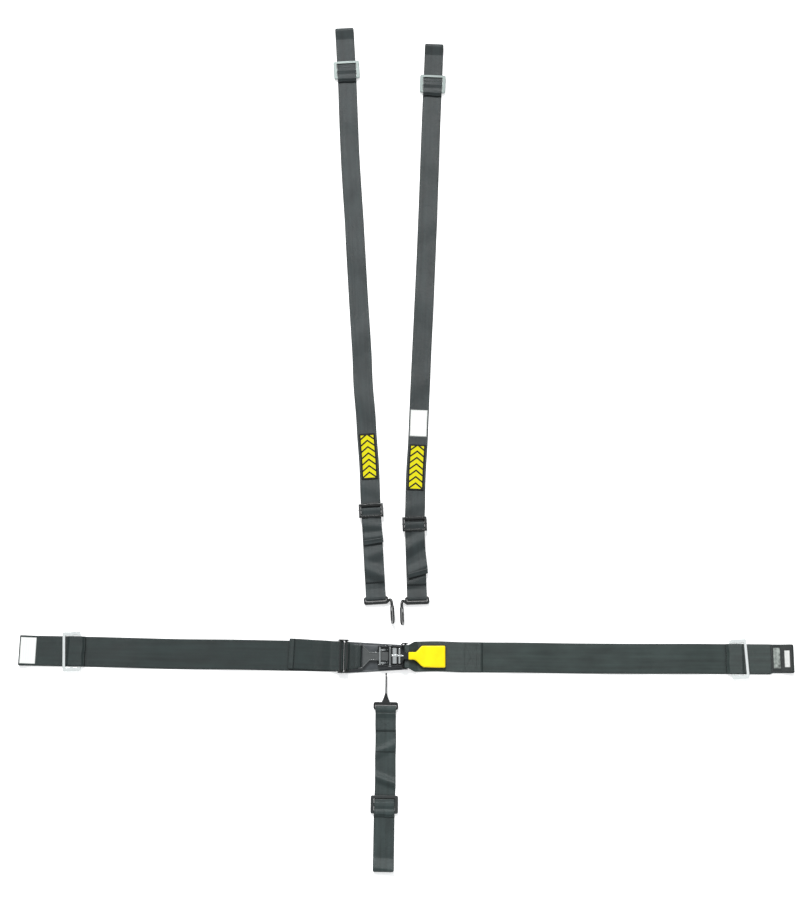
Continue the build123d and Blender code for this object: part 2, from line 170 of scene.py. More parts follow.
def object_space(tree):
    return node(tree, "ShaderNodeTexCoord").outputs["Object"]


def noise(tree, where, scale, detail):
    inputs = {"Vector": where, "Scale": scale, "Detail": detail}
    return node(tree, "ShaderNodeTexNoise", inputs).outputs["Fac"]


def rounded_normal(tree, radius, samples=6):
    return node(tree, "ShaderNodeBevel", {"Radius": radius}, samples=samples).outputs[0]


def emboss(tree, shader, height, strength, distance, normal=None):
    """Bump the shader's normal by a height, over a rounded normal if there is one."""
    inputs = {"Height": height, "Strength": strength, "Distance": distance}
    if normal is not None:
        inputs["Normal"] = normal
    wire(tree, shader, "Normal", node(tree, "ShaderNodeBump", inputs).outputs[0])


def along_and_across(tree):
    """Distance along and across a strip, in millimetres, from its UVs."""
    uv = node(tree, "ShaderNodeUVMap", uv_map="UVMap").outputs[0]
    parts = node(tree, "ShaderNodeSeparateXYZ", {0: uv})
    return times(tree, parts.outputs[0], PER_M), times(tree, parts.outputs[1], PER_M)


def stretched_noise(tree, u, v, su, sv, detail, seed):
    """Noise over a strip, su and sv cells to the millimetre along and across it."""
    place_in = {0: times(tree, u, su), 1: times(tree, v, sv), 2: seed}
    where = node(tree, "ShaderNodeCombineXYZ", place_in).outputs[0]
    return noise(tree, where, 1.0, detail)


def scaled(colour, factor):
    return tuple(c * factor for c in colour)


def webbing_material(name, colour, half, seed):
    """Dense woven webbing: ribs along it, picks across it, a darker band along each long edge,
    faint wear, and painted shade where other parts lie close.
    """
    mat, tree, shader = material(name)
    u, v = along_and_across(tree)
    rib = wave(tree, v, RIB_PITCH)
    across_picks = times(tree, u, math.tau / PICK_PITCH)
    lean = plus(tree, across_picks, times(tree, v, math.tau / PICK_SLANT))
    pick = maths(tree, "SINE", lean)
    weave = times(tree, plus(tree, rib, times(tree, pick, 0.8)), 0.5)
    # A darker band along each long edge of the strap.
    edge = maths(tree, "GREATER_THAN", maths(tree, "ABSOLUTE", v), half - EDGE_BAND_WIDTH)
    streak = stretched_noise(tree, u, v, 0.004, 0.11, 3.0, seed)
    patch = stretched_noise(tree, u, v, 0.02, 0.03, 2.0, seed + 7)
    fuzz = stretched_noise(tree, u, v, 0.9, 1.3, 2.0, seed + 3)
    tone = plus(tree, times(tree, streak, 0.6), times(tree, patch, 0.4))
    base = ramp(tree, tone, [(0.36, scaled(colour, 0.7)), (0.64, scaled(colour, 1.3))])
    lit = plus(tree, times(tree, weave, 0.3), fuzz)
    shade = ramp(tree, lit, [(0.2, (0.72, 0.72, 0.72)), (0.8, (1.0, 1.0, 1.0))])
    base = mix(tree, 1.0, base, shade, "MULTIPLY")
    base = mix(tree, times(tree, edge, 0.45), base, scaled(colour, 0.6))
    # Painted shade: the base colour darkens to a third of itself where other parts or layers lie
    # close, standing in for the shade they cast.
    occlusion_for_shade = node(tree, "ShaderNodeAmbientOcclusion", {"Distance": 0.012}, samples=4).outputs["AO"]
    unshaded_amount = ramp_value(tree, occlusion_for_shade, 0.5, 0.95)
    base = mix(tree, unshaded_amount, scaled(colour, 0.35), base)
    wire(tree, shader, "Base Color", base)
    rough = plus(tree, times(tree, patch, 0.18), 0.31)
    wire(tree, shader, "Roughness", rough)
    shader.inputs["Specular IOR Level"].default_value = 0.42
    shader.inputs["Sheen Weight"].default_value = 0.08
    shader.inputs["Sheen Roughness"].default_value = 0.4
    height = plus(tree, weave, times(tree, fuzz, 0.5))
    emboss(tree, shader, height, 0.55, 0.00025)
    return mat


# Metal: cells of fine grain to the metre, the worn edge's width and the rounded edge's radius.
FINE_GRAIN = 420.0
EDGE_M = 0.0009
ROUND_M = 0.0005


def edge_mask(tree, radius, low, high):
    """White along the part's own edges. It places bare metal where coating wears away, and painted
    edge shade on the pale zinc slides and round plate outlines.
    """
    soft = rounded_normal(tree, radius)
    flat = node(tree, "ShaderNodeNewGeometry").outputs["Normal"]
    same = node(
        tree, "ShaderNodeVectorMath", {0: soft, 1: flat}, operation="DOT_PRODUCT"
    ).outputs["Value"]
    turned = minus(tree, 1.0, same)
    return ramp_value(tree, turned, low, high)


def metal_material(name, colour, second_tone, rough, metallic, wear, rim=EDGE_M, patchy=0.62):
    """Coated or plated steel with a second tone along its edges, fine scratches and a rounded edge
    highlight.

    The second tone is bare metal where coating wears away on the black parts, and painted edge
    shade, a dark outline, on the pale zinc slides. rim is how far in the edge tone reaches, in
    metres, and a lower patchy leaves fewer gaps in it.
    """
    mat, tree, shader = material(name)
    where = object_space(tree)
    fine = noise(tree, where, FINE_GRAIN, 5.0)
    broad = noise(tree, where, FINE_GRAIN / 9, 3.0)
    edge = edge_mask(tree, rim, 0.02, 0.3)
    # Edge tone: bare metal where coating wears away on the dark parts, and on the pale zinc slides
    # a painted edge shade that outlines the bars.
    broken = times(tree, edge, ramp_value(tree, broad, patchy - 0.27, patchy))
    edge_wear_and_shade = maths(tree, "MINIMUM", times(tree, broken, wear), 1.0)
    base = mix(tree, fine, scaled(colour, 0.82), colour)
    base = mix(tree, edge_wear_and_shade, base, second_tone)
    wire(tree, shader, "Base Color", base)
    if metallic < 1:
        shine = plus(tree, metallic, times(tree, edge_wear_and_shade, 1 - metallic))
        wire(tree, shader, "Metallic", shine)
    else:
        shader.inputs["Metallic"].default_value = 1.0
    spread = plus(tree, rough - 0.07, times(tree, broad, 0.14))
    wire(tree, shader, "Roughness", spread)
    round_edge = rounded_normal(tree, ROUND_M)
    emboss(tree, shader, fine, 0.12, 0.0001, round_edge)
    return mat


# ---------------------------------------------------------------- materials
# All five are one black webbing; each copy's brightness is matched to how lit its strap looks, so
# the differences between them are painted light and shade.
web_wide = webbing_material("webbing_lap_right", (0.0235, 0.0375, 0.0345), LAP_W / 2, 1.0)
web_wide_left = webbing_material("webbing_lap_left", (0.0105, 0.0215, 0.0205), LAP_W / 2, 2.0)
web_left = webbing_material("webbing_shoulder_left", (0.0225, 0.033, 0.0345), SHOULDER_W / 2, 4.0)
web_right = webbing_material("webbing_shoulder_right", (0.0195, 0.029, 0.030), SHOULDER_W / 2, 9.0)
web_crotch = webbing_material("webbing_crotch", (0.027, 0.042, 0.041), SHOULDER_W / 2, 14.0)

# Pale zinc for the slides, whose dark second tone is painted edge shade outlining the bars. The
# shoulder slides get a copy painted darker all over, standing in for the dimmer reflection they
# show.
silver = metal_material(
    "slide_zinc", (0.93, 0.97, 0.96), (0.2, 0.235, 0.23), 0.32, 0.7, 1.3, rim=0.0022, patchy=0.4
)
silver_painted_dark = metal_material(
    "slide_zinc_painted_dark", (0.24, 0.275, 0.265), (0.06, 0.07, 0.068), 0.36, 1.0, 1.3, rim=0.0022,
    patchy=0.4,
)
coated = metal_material(
    "hardware_black", (0.012, 0.014, 0.014), (0.32, 0.34, 0.33), 0.24, 0.0, 0.55
)
matt_black = metal_material(
    "adjuster_black", (0.012, 0.014, 0.014), (0.13, 0.14, 0.14), 0.38, 0.0, 0.4
)
coated_worn = metal_material(
    "adjuster_worn_black", (0.014, 0.016, 0.016), (0.55, 0.57, 0.55), 0.22, 0.1, 0.85
)
slide_coated = metal_material(
    "slide_black", (0.022, 0.026, 0.026), (0.3, 0.32, 0.31), 0.4, 0.0, 0.4
)
buckle = metal_material(
    "buckle_black_plate", (0.028, 0.031, 0.033), (0.5, 0.52, 0.52), 0.22, 0.6, 0.8
)
bright = metal_material("bright_steel", (0.66, 0.69, 0.69), (0.9, 0.9, 0.9), 0.2, 1.0, 0.5)


def ridged_plate(name, field, bead_highlight, low, high, metallic):
    """Dark plate steel whose raised parts, between two heights, carry a painted highlight, with
    bright bare edges and a painted shade outline along the lower edges.
    """
    mat, tree, shader = material(name)
    where = object_space(tree)
    parts = node(tree, "ShaderNodeSeparateXYZ", {0: where})
    fine = noise(tree, where, 500.0, 5.0)
    broad = noise(tree, where, 90.0, 3.0)
    height = plus(tree, parts.outputs[2], times(tree, fine, 0.0006))
    # Painted highlight: the raised parts take the bright colour, standing in for the light the
    # curved beads catch.
    top = ramp_value(tree, height, low, high)
    edge = times(tree, edge_mask(tree, EDGE_M, 0.02, 0.3), broad)
    highlight_and_wear = maths(tree, "MINIMUM", plus(tree, top, edge), 1.0)
    # Painted shade: a dark outline along the plate's lower edges, standing in for the shade of its
    # thickness.
    outline_shade_mask = edge_mask(tree, 0.0024, 0.03, 0.25)
    rim = times(tree, outline_shade_mask, minus(tree, 1.0, top))
    plain = mix(tree, rim, field, scaled(field, 0.15))
    highlight_inside_outline = times(tree, highlight_and_wear, minus(tree, 1.0, rim))
    wire(tree, shader, "Base Color", mix(tree, highlight_inside_outline, plain, bead_highlight))
    shine = plus(tree, metallic, times(tree, highlight_and_wear, 1 - metallic))
    wire(tree, shader, "Metallic", shine)
    wire(tree, shader, "Roughness", plus(tree, 0.16, times(tree, broad, 0.16)))
    round_edge = rounded_normal(tree, ROUND_M)
    emboss(tree, shader, fine, 0.12, 0.0001, round_edge)
    return mat


lever_steel = ridged_plate(
    "lever_plate_steel", (0.03, 0.033, 0.034), (0.62, 0.65, 0.65), 0.0204, 0.0213, 0.55
)
link_steel = ridged_plate(
    "link_plate_steel", (0.05, 0.056, 0.057), (0.24, 0.25, 0.25), 0.0106, 0.0113, 0.4
)


def grip_material():
    """Moulded yellow plastic with a soft sheen."""
    mat, tree, shader = material("grip_yellow")
    where = object_space(tree)
    broad = noise(tree, where, 34.0, 2.0)
    pores = noise(tree, where, 1400.0, 2.0)
    wire(
        tree, shader, "Base Color",
        ramp(tree, broad, [(0.3, (0.97, 0.70, 0.0)), (0.7, (1.0, 0.80, 0.0))]),
    )
    wire(tree, shader, "Roughness", plus(tree, 0.26, times(tree, broad, 0.16)))
    shader.inputs["Specular IOR Level"].default_value = 0.3
    round_edge = rounded_normal(tree, 0.0016, 8)
    emboss(tree, shader, pores, 0.1, 0.0001, round_edge)
    return mat


def leather_material():
    """Black synthetic leather with a fine cell grain."""
    mat, tree, shader = material("pad_leather")
    where = object_space(tree)
    grain = {"Vector": where, "Scale": 620.0}
    cell_node = node(tree, "ShaderNodeTexVoronoi", grain, feature="DISTANCE_TO_EDGE")
    cells = cell_node.outputs["Distance"]
    soft = noise(tree, where, 60.0, 4.0)
    wire(
        tree, shader, "Base Color",
        ramp(tree, soft, [(0.3, (0.040, 0.047, 0.052)), (0.7, (0.062, 0.070, 0.076))]),
    )
    wire(tree, shader, "Roughness", plus(tree, 0.3, times(tree, soft, 0.2)))
    emboss(tree, shader, plus(tree, cells, times(tree, soft, 0.4)), 0.35, 0.0002)
    return mat


def thread_material(name, colour):
    """Twisted sewing thread."""
    mat, tree, shader = material(name)
    where = object_space(tree)
    twist = noise(tree, where, 1800.0, 2.0)
    wire(
        tree, shader, "Base Color", ramp(tree, twist, [(0.3, scaled(colour, 0.7)), (0.7, colour)])
    )
    shader.inputs["Roughness"].default_value = 0.6
    return mat


def woven_label(name, length, field):
    """A woven black label whose yellow field, field to either side, is crossed by chevrons."""
    mat, tree, shader = material(name)
    u, v = along_and_across(tree)
    side = maths(tree, "ABSOLUTE", v)
    inside = maths(tree, "LESS_THAN", side, field)
    mid = maths(tree, "ABSOLUTE", minus(tree, u, length / 2))
    inside = times(tree, inside, maths(tree, "LESS_THAN", mid, length / 2 - 5.0))
    lean = maths(tree, "DIVIDE", plus(tree, u, times(tree, side, 0.8)), 17.0)
    stripe = maths(tree, "LESS_THAN", maths(tree, "FRACT", lean), 0.3)
    yellow = times(tree, inside, minus(tree, 1.0, stripe))
    warp_yarn = wave(tree, v, 0.7)
    weft_yarn = wave(tree, u, 0.55)
    yarn = times(tree, plus(tree, warp_yarn, weft_yarn), 0.5)
    gold = ramp(tree, yarn, [(0.0, (0.62, 0.56, 0.0)), (0.6, (0.86, 0.80, 0.0))])
    wire(tree, shader, "Base Color", mix(tree, yellow, (0.008, 0.009, 0.008), gold))
    shader.inputs["Roughness"].default_value = 0.6
    shader.inputs["Specular IOR Level"].default_value = 0.2
    emboss(tree, shader, plus(tree, yarn, yellow), 0.4, 0.00015)
    return mat


def satin_label(name, colour, shadow, half_u, half_v, second_tone=0.0):
    """A pale satin label with a sewn border and faint plain bars, no lettering."""
    mat, tree, shader = material(name)
    u, v = along_and_across(tree)
    uu = maths(tree, "ABSOLUTE", minus(tree, u, half_u))
    vv = maths(tree, "ABSOLUTE", v)
    end_hem = maths(tree, "GREATER_THAN", uu, half_u - LABEL_HEM)
    side_hem = maths(tree, "GREATER_THAN", vv, half_v - LABEL_HEM)
    border = maths(tree, "MAXIMUM", end_hem, side_hem)
    yarn = wave(tree, plus(tree, u, v), 0.6)
    stain = stretched_noise(tree, u, v, 0.12, 0.09, 4.0, 2.0)
    bars = maths(tree, "LESS_THAN", maths(tree, "FRACT", maths(tree, "DIVIDE", u, 6.0)), 0.16)
    row = times(tree, bars, maths(tree, "LESS_THAN", vv, half_v - 7))
    base = mix(tree, times(tree, row, 0.1), colour, shadow)
    base = mix(tree, times(tree, border, 0.22), base, shadow)
    if second_tone:
        rub = ramp_value(tree, stain, 0.35, 0.7)
        base = mix(tree, times(tree, rub, second_tone), base, shadow)
    wire(tree, shader, "Base Color", base)
    wire(tree, shader, "Roughness", plus(tree, 0.4, times(tree, stain, 0.2)))
    emboss(tree, shader, yarn, 0.2, 0.0001)
    return mat


grip_yellow = grip_material()
pad_leather = leather_material()
thread_dark = thread_material("thread_black", (0.035, 0.042, 0.042))
thread_grey = thread_material("thread_grey", (0.09, 0.1, 0.1))
patch_mat = woven_label("shoulder_patch", 123.3, 16.8)
label_mat = satin_label("label_satin", (0.82, 0.84, 0.82), (0.25, 0.26, 0.25), 19.2, 33)
label_long = satin_label("label_satin_long", (0.80, 0.82, 0.80), (0.3, 0.31, 0.3), 35.7, 22)
tag_grey = satin_label("tag_worn", (0.36, 0.40, 0.37), (0.05, 0.056, 0.054), 8.8, 26, 0.95)
tag_white = satin_label("tag_white", (0.72, 0.73, 0.71), (0.12, 0.125, 0.12), 6.6, 21, 0.3)
cap_leather = webbing_material("end_cap_cloth", (0.017, 0.022, 0.021), 60.0, 21.0)


# ---------------------------------------------------------------- strips of webbing
def place(x, y, angle):
    """A strap's frame: x along it, y across it, at a point and turned by an angle in degrees."""
    return Matrix.Translation((x * MM, y * MM, 0)) @ Matrix.Rotation(math.radians(angle), 4, "Z")


LAP_RIGHT = place(0, 0.6, -0.4)
LAP_LEFT = place(0, -1.6, 178.9)
SHOULDER_L = place(-41.5, 150, 93.4)
SHOULDER_R_LOW = place(63.6, 150, 91.86)
SHOULDER_R = place(57.3, 343, 87.6)
CROTCH = place(-15.4, -130, -90.75)


def rounded(points, radii, step):
    """The line through (s, z) points with its bends rounded, as evenly spread points."""
    out = [Vector(points[0])]
    for i in range(1, len(points) - 1):
        here = Vector(points[i])
        back = (Vector(points[i - 1]) - here).normalized()
        on = (Vector(points[i + 1]) - here).normalized()
        turn = math.pi - back.angle(on)
        if turn < 0.02:
            continue
        reach = radii[i - 1] * math.tan(turn / 2)
        start, end = here + back * reach, here + on * reach
        n = max(3, int(turn / 0.16))
        centre = here + (back + on).normalized() * (radii[i - 1] / math.cos(turn / 2))
        a, b = start - centre, end - centre
        for k in range(n + 1):
            w = k / n
            ray = (a * math.sin((1 - w) * turn) + b * math.sin(w * turn)) / math.sin(turn)
            out.append(centre + ray)
    out.append(Vector(points[-1]))
    line = [out[0]]
    for p in out[1:]:
        gap = (p - line[-1]).length
        if gap < 1e-4:
            continue
        n = max(1, int(math.ceil(gap / step)))
        first = line[-1]
        for k in range(1, n + 1):
            line.append(first.lerp(p, k / n))
    return line


def strip(
    name, where, points, radii, width, body, mat, thick=WEB_THICK, warp=None, edges=None, step=7.0,
    across=16, rim=1.1, crown=0.0,
):
    """A strip along a rounded line, with rounded long edges and UVs in metres.

    edges(s) gives its two sides, thick may be a function of s, rim is the width over which the
    long edges round off, crown raises the middle, and warp moves each point at the end.
    """
    line = rounded(points, radii, step)
    lengths = [0.0]
    for a, b in zip(line, line[1:]):
        lengths.append(lengths[-1] + (b - a).length)
    cuts = [math.sin(math.pi / 2 * (-1 + 2 * k / across)) for k in range(across + 1)]
    ring = [(c, 1) for c in cuts] + [(c, -1) for c in reversed(cuts)]
    verts, faces, uvs = [], [], []
    for i, p in enumerate(line):
        before, after = line[max(i - 1, 0)], line[min(i + 1, len(line) - 1)]
        along = (after - before).normalized()
        normal = Vector((-along.y, along.x))
        low, high = edges(p.x) if edges else (-width / 2, width / 2)
        deep = (thick(p.x) if callable(thick) else thick) / 2
        half, middle = (high - low) / 2, (high + low) / 2
        for c, side in ring:
            over = max(0.0, (abs(c) * half - (half - rim)) / rim)
            n = side * deep * math.sqrt(max(0.0, 1 - 0.88 * over * over))
            if side > 0:
                n += crown * (1 - c * c)
            s, t, z = p.x + normal.x * n, middle + c * half, p.y + normal.y * n
            if warp:
                s, t, z = warp(s, t, z)
            verts.append(where @ Vector((s * MM, t * MM, z * MM)))
            uvs.append((lengths[i] * MM, (middle + c * half) * MM))
    count = len(ring)
    for i in range(len(line) - 1):
        for k in range(count):
            m = (k + 1) % count
            faces.append((i * count + k, i * count + m, (i + 1) * count + m, (i + 1) * count + k))
    last = (len(line) - 1) * count
    for k in range(across):
        m = count - 1 - k
        faces.append((k + 1, k, m, m - 1))
        faces.append((last + k, last + k + 1, last + m - 1, last + m))
    obj = solid(name, verts, faces, body, mat, uvs)
    obj["strip_length"] = lengths[-1] * MM
    return obj


def tip_sides(width, tip, corner=3.5):
    """Sides of a strap whose loop end has rounded corners."""

    def sides(s):
        half = width / 2
        past = min(corner, max(0.0, s - (tip - corner)))
        half -= corner - math.sqrt(max(0.0, corner * corner - past * past))
        return -half, half

    return sides


def solid(name, verts, faces, body, mat, uvs=None):
    """A smooth mesh object that rides on a body."""
    mesh = bpy.data.meshes.new(name)
    mesh.from_pydata([tuple(v) for v in verts], [], faces)
    mesh.update()
    if uvs:
        layer = mesh.uv_layers.new(name="UVMap")
        for loop in mesh.loops:
            layer.data[loop.index].uv = uvs[loop.vertex_index]
    mesh.polygons.foreach_set("use_smooth", [True] * len(mesh.polygons))
    mesh.materials.append(mat)
    obj = bpy.data.objects.new(name, mesh)
    scene.collection.objects.link(obj)
    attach(obj, body)
    return obj


def webbing(name, cad_node, slot, where, points, radii, width, body, mat, rests, **more):
    """A length of strap in place of a CAD node, which it hides."""
    obj = strip(name, where, points, radii, width, body, mat, **more)
    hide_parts(cad_node)


def bell(x, middle, reach):
    """1 at the middle, falling smoothly to 0 at reach either side."""
    d = min(1.0, abs(x - middle) / reach)
    return (1 - d * d) ** 2


def ease(x, low, high):
    """0 below low, 1 above high, smooth between."""
    w = min(1.0, max(0.0, (x - low) / (high - low)))
    return w * w * (3 - 2 * w)


def lay(waves, bow=()):
    """How a strap lies.

    waves are low ripples (middle, reach, rise, skew), and bow is sideways (middle, reach, shift).
    """

    def warp(s, t, z):
        lift = sum(bell(s, middle + skew * t, reach) * rise for middle, reach, rise, skew in waves)
        shift = sum(bell(s, middle, reach) * far for middle, reach, far in bow)
        return s, t + shift, z + lift

    return warp


def stitches(name, where, rows, body, mat, warp=None, pitch=3.4, size=2.5, fat=0.42):
    """Rows of thread stitches, each a small flattened bead that follows the row."""
    verts, faces = [], []
    shape = [(-0.5, 0.25), (-0.3, 0.9), (0.0, 1.0), (0.3, 0.9), (0.5, 0.25)]
    sides = 6
    last_ring = sides * (len(shape) - 1)
    for row in rows:
        for a, b in zip(row, row[1:]):
            a, b = Vector(a), Vector(b)
            run = (b - a).length
            if run < 0.5:
                continue
            n = max(1, round(run / pitch))
            along = (b - a).normalized()
            side = Vector((-along.y, along.x, 0)).normalized()
            for k in range(n):
                centre = a + (b - a) * ((k + 0.5) / n)
                first = len(verts)
                for q, r in shape:
                    for m in range(sides):
                        g = m * math.tau / sides
                        p = centre + along * (q * size) + side * (math.cos(g) * fat * r)
                        p.z += math.sin(g) * fat * 0.7 * r
                        s, t, z = warp(*p) if warp else p
                        verts.append(where @ Vector((s * MM, t * MM, z * MM)))
                for j in range(len(shape) - 1):
                    for m in range(sides):
                        o = (m + 1) % sides
                        base = first + j * sides
                        faces.append((base + m, base + o, base + sides + o, base + sides + m))
                faces.append(tuple(first + m for m in reversed(range(sides))))
                faces.append(tuple(first + last_ring + m for m in range(sides)))
    obj = solid(name, verts, faces, body, mat)
    return obj


def box_rows(s0, s1, half, z, cross=True):
    """A sewn box with a cross in it."""
    rows = [[(s0, -half, z), (s1, -half, z), (s1, half, z), (s0, half, z), (s0, -half, z)]]
    if cross:
        rows += [[(s0, -half, z), (s1, half, z)], [(s0, half, z), (s1, -half, z)]]
    return rows


# Heights of the middle of the first, second and third layer of webbing, and of the anchor loops.
LAYER_1, LAYER_2, LAYER_3 = 0.75, 2.55, 4.35
LOOP_TOP = 8.25
LOOP_RADII = [3.7, 3.7, 9.0, 12.0]
SEWN = 0.95  # how far thread lies above the middle of the layer it is sewn on


def loop_line(tip, end):
    """The webbing's path round its anchor loop and back as a second layer to end."""
    fold = tip - WEB_THICK / 2
    return [
        (fold, LAYER_1), (fold, LOOP_TOP), (fold - 8, LOOP_TOP), (fold - 32, LAYER_2),
        (end, LAYER_2),
    ]


def hump(
    name, cad_node, where, s, length, width, body, mat, rests, flip=False, slack=0.0, sag=6.1
):
    """The webbing that rides over two bars of a three-bar slide, sagging between them."""
    half = length / 2
    line = [
        (half - 8.5 - slack, 4.65),
        (8.3 + slack, 4.65),
        (4.6 + slack, 8.1),
        (-3.5, 8.0),
        (-(half - 2.0) / 2 - 1.0, sag),
        (-half + 5.5, 8.1),
        (-half - 1.0 - slack, 8.0),
        (-half - 5.8 - slack, 4.35),
        (-half - 8.2 - slack, 4.1),
    ]
    radii = [1.0, 1.5, 3.0, 4.0, 3.0, 2.0, 2.0]
    if flip:
        line = [(-a, b) for a, b in line]
    line = [(s + a, b) for a, b in line]

    def settle(a, t, z):
        end = bell(a, s + (half if flip else -half) * 1.25, 12)
        return a + end * 0.9 * math.sin(t / 6.5), t, z

    webbing(
        name, cad_node, "webbing_black", where, line, radii, width, body, mat, rests, step=2.5,
        warp=settle,
    )


# How far each strap's anchor loop reaches along it.
RIGHT_TIP = 1017.0
LEFT_TIP = 945.0
SHOULDER_L_TIP = 1591.0
SHOULDER_R_TIP = 1348.5
CROTCH_TIP = 397.2


# Lap belt, right half
def right_sides(s):
    """Sides of the right half: narrow at the latch, full further on, shaped under its end patch."""
    half = 29.2 + 8.9 * ease(s, 40, 59)
    cap = ease(s, 955, 960)
    low, high = -half + 3.5 * cap, half - 0.4 * cap
    past = min(5.0, max(0.0, s - (RIGHT_TIP - 5.0)))
    cut = 5.0 - math.sqrt(25.0 - past * past)
    return low + cut, high - cut


lap_right_warp = lay(
    [(330, 90, 2.2, 0.3), (560, 120, 1.8, -0.4), (740, 80, 2.0, 0.2)],
    [(540, 260, -1.2), (112, 70, 1.8)],
)
right_line = [
    (230, 0.9),
    (216, LAYER_2),
    (66, LAYER_2),
    (42, 13.35),
    (29.95, 13.35),
    (29.95, 5.25),
    (42, 5.25),
    (62, LAYER_1),
] + loop_line(RIGHT_TIP, 860)
webbing(
    "web_lap_right", "lap_webbing_right", "webbing_black", LAP_RIGHT, right_line,
    [20, 20, 8, 4, 4, 8, 20] + LOOP_RADII, LAP_W, "lap_right", web_wide, ["latch_webbing_bar"],
    warp=lap_right_warp, edges=right_sides,
)
hump(
    "web_lap_right_slide", "lap_right_slide_webbing", LAP_RIGHT, 878.5, 44.0, LAP_W,
    "lap_right_slide", web_wide, ["lap_right_slide_frame"], slack=2.1, sag=8.0,
)

# Lap belt, left half
lap_left_warp = lay([(420, 110, 2.0, -0.3), (640, 100, 1.8, 0.4)], [(560, 200, 1.4)])
left_line = [(140, LAYER_1)] + loop_line(LEFT_TIP, 796)
webbing(
    "web_lap_left", "lap_webbing_left", "webbing_black", LAP_LEFT, left_line, LOOP_RADII, LAP_W,
    "lap_left", web_wide_left, ["lap_adjuster_bar"], warp=lap_left_warp,
    edges=tip_sides(LAP_W, LEFT_TIP, 3.0),
)
hump(
    "web_lap_left_slide", "lap_left_slide_webbing", LAP_LEFT, 811.5, 46.0, LAP_W, "lap_left_slide",
    web_wide_left, ["lap_left_slide_frame"], slack=2.1, sag=8.0,
)


def tail_drift(s, t, z):
    """The lap tail strays sideways and lifts towards its end."""
    w = ease(s, 150, 262)
    across = t - 3.4 * w - 1.5 * ease(s, 140, 165)
    up = z + 1.8 * w * (0.6 - t / 100) + 1.4 * bell(s, 175, 24)
    return s + 0.03 * t * w, across, up


tail_line = [
    (137, 4.55), (122.95, 4.55), (122.95, 12.65), (131, 12.65), (156, LAYER_2), (261, LAYER_2),
    (261, 4.15), (248, 4.3),
]
webbing(
    "web_lap_tail", "lap_tail", "webbing_black", LAP_LEFT, tail_line,
    [4.0, 4.0, 8, 14, 0.78, 0.78], LAP_W, "link", web_wide_left, ["lap_adjuster_bar"], step=3.5,
    warp=tail_drift,
)
connect_line = [
    (89.5, 9.4),
    (107, 9.4),
    (111.5, 12.15),
    (120.7, 12.15),
    (120.7, 5.25),
    (78.25, 5.25),
    (78.25, 12.15),
    (87.5, 12.15),
    (92, 11.05),
    (108, 11.05),
]


def connect_sides(s):
    """Sides of the link's loop, which widens towards the adjuster."""
    half = 25.0 + 1.5 * ease(s, 77, 82) + 3.2 * ease(s, 81, 88) + 5.5 * ease(s, 86, 124)
    return -half, half


webbing(
    "web_link_loop", "link_webbing_loop", "webbing_black", LAP_LEFT, connect_line,
    [5, 5, 3.2, 3.2, 3.2, 3.2, 4, 8], 60.0, "link", web_wide_left,
    ["link_plate", "lap_adjuster_frame"], edges=connect_sides, step=2.5,
)

# Shoulder strap, left
left_shoulder_warp = lay(
    [
        (285, 26, 1.2, 0.3), (520, 70, 2.6, 0.6), (700, 60, 2.2, -0.8), (930, 80, 2.8, 0.7),
        (1130, 60, 2.2, -0.6), (1330, 70, 2.4, 0.5),
    ],
    [(900, 420, 2.4), (1225, 235, 3.0), (345, 95, -1.6), (565, 95, 2.0)],
)
webbing(
    "web_shoulder_left", "shoulder_left_webbing", "webbing_black", SHOULDER_L,
    [(231, LAYER_1)] + loop_line(SHOULDER_L_TIP, 1446), LOOP_RADII, SHOULDER_W, "shoulder_left",
    web_left, ["shoulder_left_adjuster_bar"], warp=left_shoulder_warp,
    edges=tip_sides(51.4, SHOULDER_L_TIP, 6.5),
)
hump(
    "web_shoulder_left_slide", "shoulder_left_slide_webbing", SHOULDER_L, 1464.7, 52.0, SHOULDER_W,
    "shoulder_left_slide", web_left, ["shoulder_left_slide_frame"],
)

# Shoulder strap, right
right_shoulder_warp = lay(
    [
        (46, 24, 1.2, -0.3), (380, 60, 2.2, -0.6), (600, 80, 2.8, 0.7), (820, 60, 2.4, -0.7),
        (1010, 70, 2.6, 0.5),
    ],
    [(760, 400, -1.6), (125, 95, 1.6)],
)
webbing(
    "web_shoulder_right", "shoulder_right_webbing", "webbing_black", SHOULDER_R,
    [(3, LAYER_1)] + loop_line(SHOULDER_R_TIP, 1213), LOOP_RADII, SHOULDER_W, "shoulder_right",
    web_right, ["shoulder_right_adjuster_bar"], warp=right_shoulder_warp,
    edges=tip_sides(51.4, SHOULDER_R_TIP, 6.5),
)
hump(
    "web_shoulder_right_slide", "shoulder_right_slide_webbing", SHOULDER_R, 1228.4, 52.0,
    SHOULDER_W, "shoulder_right_slide", web_right, ["shoulder_right_slide_frame"],
)

# How far past a fitting's bar its webbing fold reaches.
FOLD_REACH = 7.2


